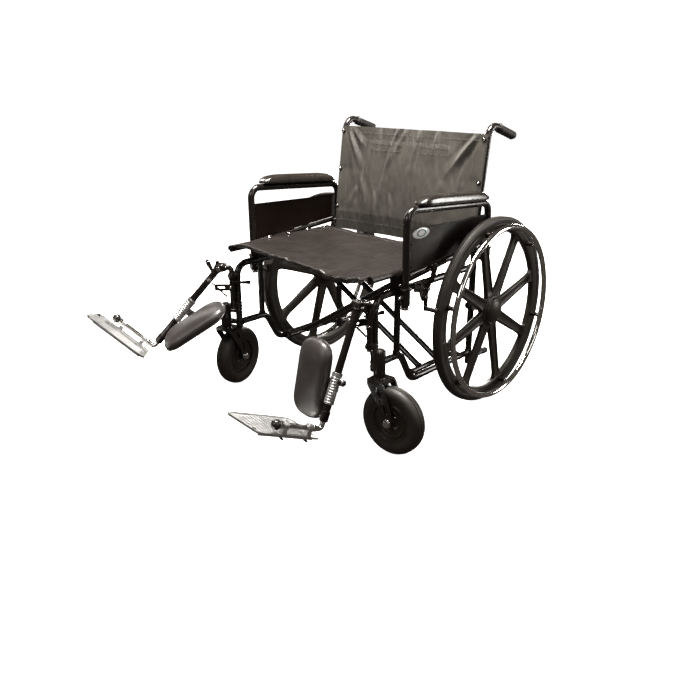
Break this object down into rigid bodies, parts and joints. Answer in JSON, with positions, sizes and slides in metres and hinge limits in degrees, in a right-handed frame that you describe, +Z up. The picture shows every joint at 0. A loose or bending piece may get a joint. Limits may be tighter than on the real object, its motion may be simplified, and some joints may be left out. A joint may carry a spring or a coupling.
{
  "type": "manual wheelchair",
  "caption": "Folding manual wheelchair with spoked composite rear wheels, handrims, swivel casters, sling seat and back, full-length armrests and elevating swing-away legrests.",
  "frame": {"origin": "centre of the footprint, on the ground under the wheels", "axes": "+Z up; the user sits facing -Y, so -Y is forward; +X is the user's left side"},
  "size_m": [1.1325, 1.2228, 0.8866],
  "materials": {
    "frame_black": "gloss black powder coat",
    "chrome": "polished chrome plate",
    "aluminium": "cast and polished, light wear",
    "wheel_plastic": "moulded composite, satin",
    "trim_plastic": "moulded plastic, fine grain",
    "arm_pad": "smooth skinned urethane, glossy",
    "tyre": "matte black rubber",
    "grip": "ribbed rubber, matte",
    "back_vinyl": "dark grey vinyl, creased, stitched",
    "seat_vinyl": "black vinyl, glossy, creased",
    "calf_vinyl": "dark grey vinyl over foam"
  },
  "bodies": {
    "left_frame": {"left_front_post": "frame_black", "left_top_rail": "frame_black", "left_lower_rail": "frame_black", "left_back_cane": "frame_black", "left_push_grip": "grip", "left_rear_axle": "chrome", "left_brake_body": "chrome", "back_sling": "back_vinyl"},
    "right_frame": {"right_front_post": "frame_black", "right_top_rail": "frame_black", "right_lower_rail": "frame_black", "right_back_cane": "frame_black", "right_push_grip": "grip", "right_rear_axle": "chrome", "right_brake_body": "chrome"},
    "seat_brace": {"brace_a": "frame_black", "brace_bolt": "chrome", "seat_sling": "seat_vinyl"},
    "cross_brace": {"brace_b": "frame_black"},
    "left_wheel": {"left_rear_tyre": "tyre", "left_rear_wheel": "wheel_plastic", "left_handrim": "chrome"},
    "left_caster_swivel": {"left_caster_fork": "frame_black"},
    "left_caster_roller": {"left_caster_wheel": "wheel_plastic", "left_caster_tyre": "tyre"},
    "left_armrest": {"left_arm_frame": "frame_black", "left_arm_panel": "trim_plastic", "left_arm_pad": "arm_pad"},
    "left_brake_handle": {"left_brake_lever": "trim_plastic"},
    "left_brake_arm": {"left_brake_shoe": "chrome"},
    "left_legrest": {"left_hanger": "frame_black"},
    "left_latch": {"left_swing_latch": "trim_plastic"},
    "left_release": {"left_ratchet_lever": "trim_plastic"},
    "left_leg": {"left_leg_tube": "frame_black"},
    "left_ratchet": {"left_ratchet_rod": "chrome"},
    "left_calf_support": {"left_calf_bracket": "aluminium", "left_calf_pad": "calf_vinyl"},
    "left_foot_extension": {"left_foot_tube": "chrome"},
    "left_foot_board": {"left_footplate": "aluminium"},
    "right_wheel": {"right_rear_tyre": "tyre", "right_rear_wheel": "wheel_plastic", "right_handrim": "chrome"},
    "right_caster_swivel": {"right_caster_fork": "frame_black"},
    "right_caster_roller": {"right_caster_wheel": "wheel_plastic", "right_caster_tyre": "tyre"},
    "right_armrest": {"right_arm_frame": "frame_black", "right_arm_panel": "trim_plastic", "right_arm_pad": "arm_pad"},
    "right_brake_handle": {"right_brake_lever": "trim_plastic"},
    "right_brake_arm": {"right_brake_shoe": "chrome"},
    "right_legrest": {"right_hanger": "frame_black"},
    "right_latch": {"right_swing_latch": "trim_plastic"},
    "right_release": {"right_ratchet_lever": "trim_plastic"},
    "right_leg": {"right_leg_tube": "frame_black"},
    "right_ratchet": {"right_ratchet_rod": "chrome"},
    "right_calf_support": {"right_calf_bracket": "aluminium", "right_calf_pad": "calf_vinyl"},
    "right_foot_extension": {"right_foot_tube": "chrome"},
    "right_foot_board": {"right_footplate": "aluminium"}
  },
  "joints": [
    {"name": "fold", "type": "hinge", "parent": "left_frame", "child": "seat_brace", "pos_m": [0.34898, 0.13334, 0.146], "axis": [0, 1, 0], "range_deg": [0, 42], "deforming": ["seat_sling", "back_sling"]},
    {"name": "brace_cross", "type": "hinge", "parent": "seat_brace", "child": "cross_brace", "pos_m": [0.07698, 0.13334, 0.31206], "axis": [0, 1, 0], "range_deg": [-84, 0]},
    {"name": "right_frame_hinge", "type": "hinge", "parent": "cross_brace", "child": "right_frame", "pos_m": [-0.19502, 0.13334, 0.146], "axis": [0, 1, 0], "range_deg": [0, 42]},
    {"name": "left_wheel_roll", "type": "hinge", "parent": "left_frame", "child": "left_wheel", "pos_m": [0.44858, 0.30934, 0.305], "axis": [1, 0, 0], "continuous": true},
    {"name": "left_caster_turn", "type": "hinge", "parent": "left_frame", "child": "left_caster_swivel", "pos_m": [0.41498, -0.21366, 0.26], "axis": [0, 0, 1], "continuous": true},
    {"name": "left_caster_roll", "type": "hinge", "parent": "left_caster_swivel", "child": "left_caster_roller", "pos_m": [0.46795, -0.21181, 0.1016], "axis": [-0.0349, 0.9994, 0], "continuous": true},
    {"name": "left_armrest_lift", "type": "slide", "parent": "left_frame", "child": "left_armrest", "axis": [0, 0, 1], "range_m": [0, 0.25]},
    {"name": "left_brake_lever_turn", "type": "hinge", "parent": "left_frame", "child": "left_brake_handle", "pos_m": [0.41898, -0.00266, 0.436], "axis": [1, 0, 0], "range_deg": [0, 60]},
    {"name": "left_brake_arm_turn", "type": "hinge", "parent": "left_frame", "child": "left_brake_arm", "pos_m": [0.41898, -0.00866, 0.414], "axis": [1, 0, 0], "range_deg": [0, 20.4]},
    {"name": "left_legrest_swing", "type": "hinge", "parent": "left_frame", "child": "left_legrest", "pos_m": [0.37598, -0.21166, 0.35], "axis": [0, 0, 1], "range_deg": [0, 82]},
    {"name": "left_latch_press", "type": "hinge", "parent": "left_legrest", "child": "left_latch", "pos_m": [0.35651, -0.20709, 0.388], "axis": [0, 0, 1], "range_deg": [0, 8]},
    {"name": "left_release_turn", "type": "hinge", "parent": "left_legrest", "child": "left_release", "pos_m": [0.38972, -0.26521, 0.443], "axis": [0.9736, -0.2284, 0], "range_deg": [0, 15]},
    {"name": "left_leg_raise", "type": "hinge", "parent": "left_legrest", "child": "left_leg", "pos_m": [0.36708, -0.24963, 0.433], "axis": [-0.9736, 0.2284, 0], "range_deg": [-8, 55]},
    {"name": "left_ratchet_turn", "type": "hinge", "parent": "left_leg", "child": "left_ratchet", "pos_m": [0.34747, -0.26318, 0.38623], "axis": [-0.9736, 0.2284, 0], "range_deg": [-55, 8]},
    {"name": "left_calf_swing", "type": "hinge", "parent": "left_leg", "child": "left_calf_support", "pos_m": [0.34746, -0.33325, 0.20569], "axis": [-0.0807, -0.3441, -0.9354], "range_deg": [-45, 20]},
    {"name": "left_foot_slide", "type": "slide", "parent": "left_leg", "child": "left_foot_extension", "axis": [-0.0807, -0.3441, -0.9354], "range_m": [0, 0.04]},
    {"name": "left_footplate_flip", "type": "hinge", "parent": "left_foot_extension", "child": "left_foot_board", "pos_m": [0.32258, -0.43933, 0.11537], "axis": [0.2136, 0.9107, -0.3535], "range_deg": [0, 12]},
    {"name": "right_wheel_roll", "type": "hinge", "parent": "right_frame", "child": "right_wheel", "pos_m": [-0.29462, 0.30934, 0.305], "axis": [1, 0, 0], "continuous": true},
    {"name": "right_caster_turn", "type": "hinge", "parent": "right_frame", "child": "right_caster_swivel", "pos_m": [-0.26102, -0.21366, 0.26], "axis": [0, 0, 1], "continuous": true},
    {"name": "right_caster_roll", "type": "hinge", "parent": "right_caster_swivel", "child": "right_caster_roller", "pos_m": [-0.27204, -0.16182, 0.1016], "axis": [0.9781, 0.2079, 0], "continuous": true},
    {"name": "right_armrest_lift", "type": "slide", "parent": "right_frame", "child": "right_armrest", "axis": [0, 0, 1], "range_m": [0, 0.25]},
    {"name": "right_brake_lever_turn", "type": "hinge", "parent": "right_frame", "child": "right_brake_handle", "pos_m": [-0.26502, -0.00266, 0.436], "axis": [1, 0, 0], "range_deg": [0, 60]},
    {"name": "right_brake_arm_turn", "type": "hinge", "parent": "right_frame", "child": "right_brake_arm", "pos_m": [-0.26502, -0.00866, 0.414], "axis": [1, 0, 0], "range_deg": [0, 20.4]},
    {"name": "right_legrest_swing", "type": "hinge", "parent": "right_frame", "child": "right_legrest", "pos_m": [-0.22202, -0.21166, 0.35], "axis": [0, 0, -1], "range_deg": [-61.5, 28]},
    {"name": "right_latch_press", "type": "hinge", "parent": "right_legrest", "child": "right_latch", "pos_m": [-0.20871, -0.22659, 0.388], "axis": [0, 0, -1], "range_deg": [0, 8]},
    {"name": "right_release_turn", "type": "hinge", "parent": "right_legrest", "child": "right_release", "pos_m": [-0.27563, -0.22514, 0.443], "axis": [0.6652, -0.7466, 0], "range_deg": [0, 15]},
    {"name": "right_leg_raise", "type": "hinge", "parent": "right_legrest", "child": "right_leg", "pos_m": [-0.25113, -0.2376, 0.433], "axis": [-0.6652, 0.7466, 0], "range_deg": [-14, 35]},
    {"name": "right_ratchet_turn", "type": "hinge", "parent": "right_leg", "child": "right_ratchet", "pos_m": [-0.26498, -0.27137, 0.39526], "axis": [-0.6652, 0.7466, 0], "range_deg": [-35, 14]},
    {"name": "right_calf_swing", "type": "hinge", "parent": "right_leg", "child": "right_calf_support", "pos_m": [-0.3442, -0.32052, 0.28961], "axis": [0.4898, 0.4364, 0.7547], "range_deg": [-80, 0]},
    {"name": "right_foot_slide", "type": "slide", "parent": "right_leg", "child": "right_foot_extension", "axis": [-0.4898, -0.4364, -0.7547], "range_m": [0, 0.04]},
    {"name": "right_footplate_flip", "type": "hinge", "parent": "right_foot_extension", "child": "right_foot_board", "pos_m": [-0.46986, -0.43248, 0.2027], "axis": [-0.5635, -0.5021, 0.6561], "range_deg": [-15, 31]}
  ],
  "couplings": [
    {"joint": "brace_cross", "follows": "fold", "ratio": -2},
    {"joint": "right_frame_hinge", "follows": "fold", "ratio": 1},
    {"joint": "left_brake_arm_turn", "follows": "left_brake_lever_turn", "ratio": 0.34},
    {"joint": "left_ratchet_turn", "follows": "left_leg_raise", "ratio": -1},
    {"joint": "right_brake_arm_turn", "follows": "right_brake_lever_turn", "ratio": 0.34},
    {"joint": "right_ratchet_turn", "follows": "right_leg_raise", "ratio": -1}
  ]
}
